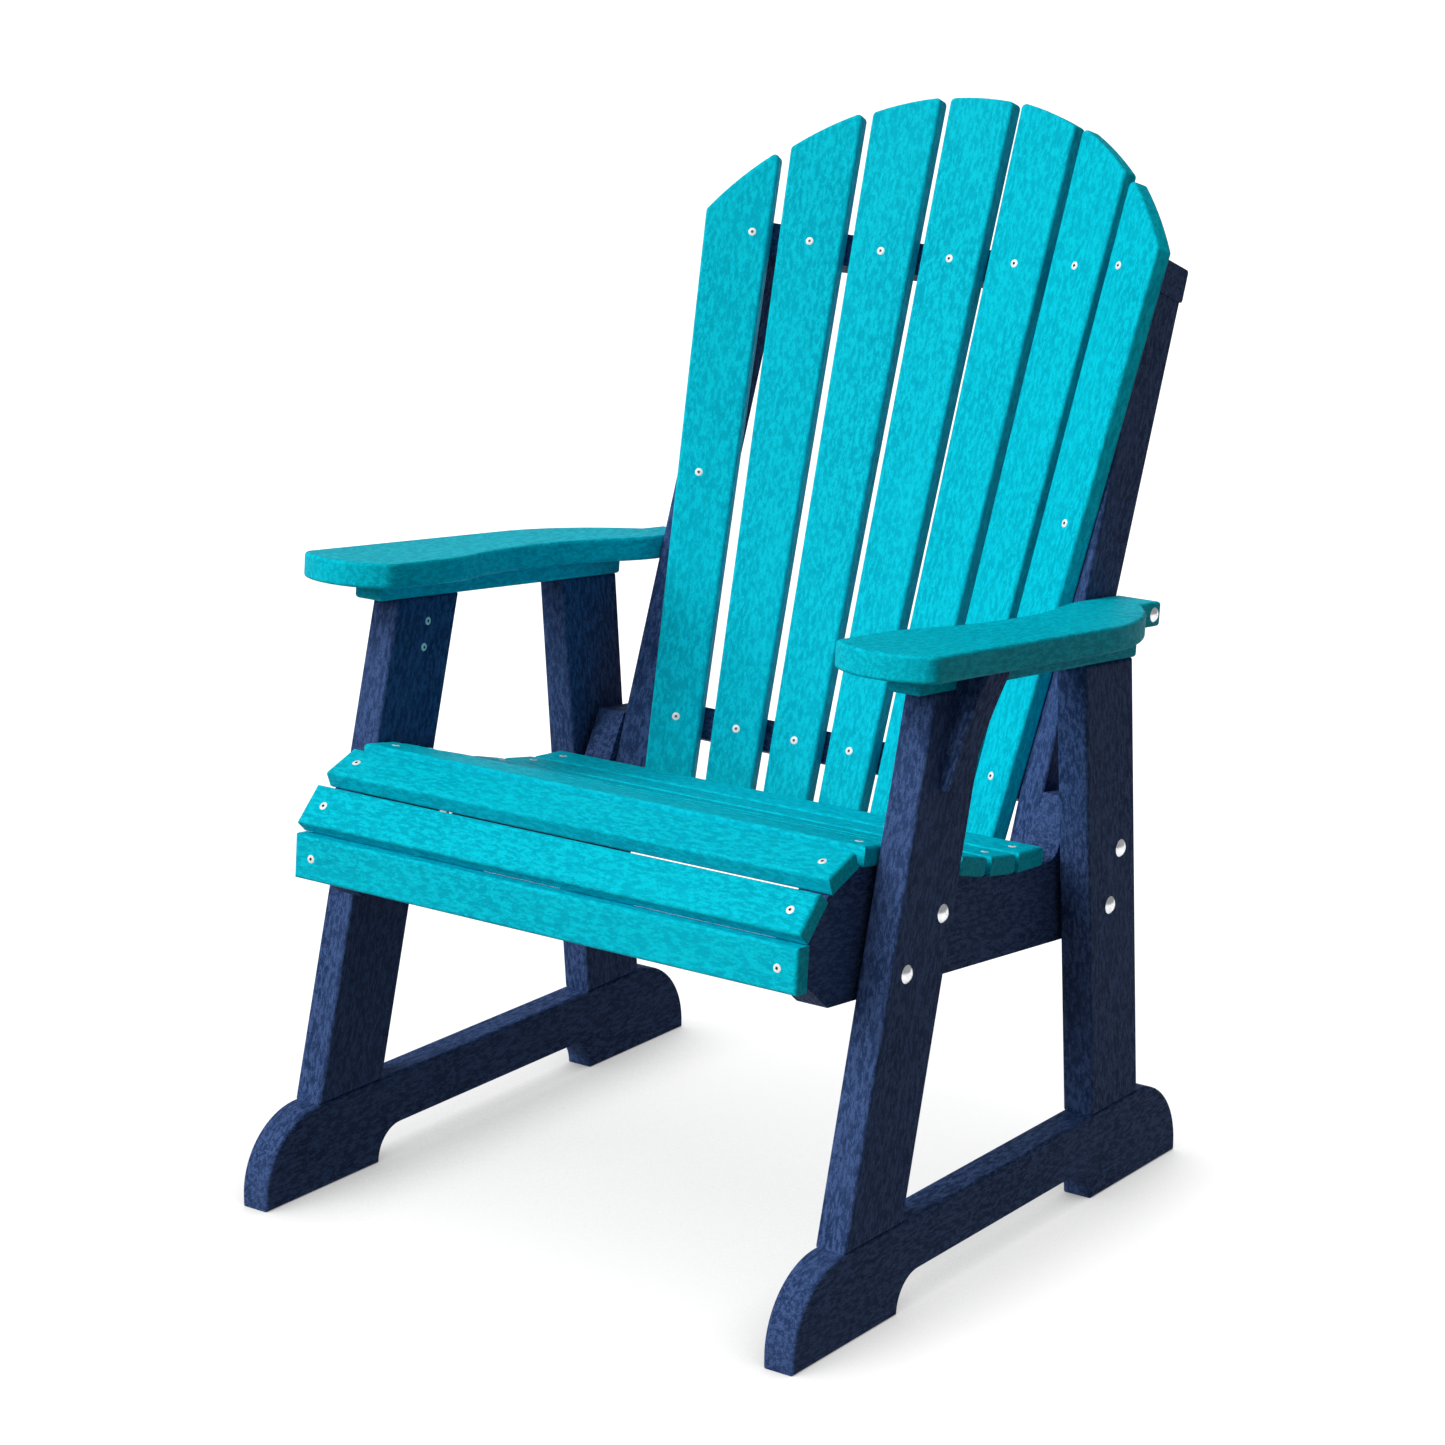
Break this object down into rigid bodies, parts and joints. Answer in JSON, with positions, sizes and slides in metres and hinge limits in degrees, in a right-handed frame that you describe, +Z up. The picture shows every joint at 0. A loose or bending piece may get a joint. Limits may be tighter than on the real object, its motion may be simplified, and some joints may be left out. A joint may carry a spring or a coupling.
{
  "type": "adirondack chair",
  "caption": "Outdoor armchair of two-tone plastic boards: contoured slatted seat, fanned and curved slat back, broad armrests, leaning legs on arched skids.",
  "frame": {"origin": "on the floor under the middle of the chair's width and depth", "axes": "+Z up, -Y towards the front of the chair, +X to the sitter's left"},
  "size_m": [0.8426, 0.9261, 1.1858],
  "materials": {
    "turquoise_board": "turquoise polyethylene lumber with a rolled, mottled grain",
    "navy_board": "navy polyethylene lumber with a rolled, mottled grain",
    "white_screw": "white coated stainless screws",
    "steel_bolt": "satin stainless carriage bolts"
  },
  "bodies": {
    "root": {"arm_bracket_left": "navy_board", "arm_bracket_right": "navy_board", "arm_support_left": "turquoise_board", "arm_support_right": "turquoise_board", "arm_support_screws": "white_screw", "arm_tail_bolts": "steel_bolt", "arm_tail_nuts": "steel_bolt", "arm_tail_washers": "steel_bolt", "armrest_left": "turquoise_board", "armrest_right": "turquoise_board", "armrest_screws": "white_screw", "back_slat_1": "turquoise_board", "back_slat_2": "turquoise_board", "back_slat_3": "turquoise_board", "back_slat_4": "turquoise_board", "back_slat_5": "turquoise_board", "back_slat_6": "turquoise_board", "back_slat_7": "turquoise_board", "back_slat_screws": "white_screw", "back_upright_left": "navy_board", "back_upright_right": "navy_board", "bracket_screws": "white_screw", "front_leg_bolts": "steel_bolt", "front_leg_left": "navy_board", "front_leg_right": "navy_board", "leg_bolt_nuts": "steel_bolt", "leg_bolt_spacers": "steel_bolt", "leg_bolt_washers": "steel_bolt", "lower_back_rail": "navy_board", "lower_rail_screws": "white_screw", "rear_leg_bolts": "steel_bolt", "rear_leg_left": "navy_board", "rear_leg_right": "navy_board", "seat_apron": "turquoise_board", "seat_rail_left": "navy_board", "seat_rail_right": "navy_board", "seat_screws": "white_screw", "seat_slat_1": "turquoise_board", "seat_slat_2": "turquoise_board", "seat_slat_3": "turquoise_board", "seat_slat_4": "turquoise_board", "seat_slat_5": "turquoise_board", "seat_slat_6": "turquoise_board", "seat_slat_7": "turquoise_board", "seat_slat_8": "turquoise_board", "skid_left": "navy_board", "skid_right": "navy_board", "skid_screws": "steel_bolt", "top_back_rail": "navy_board", "top_rail_screws": "white_screw"}
  },
  "joints": []
}
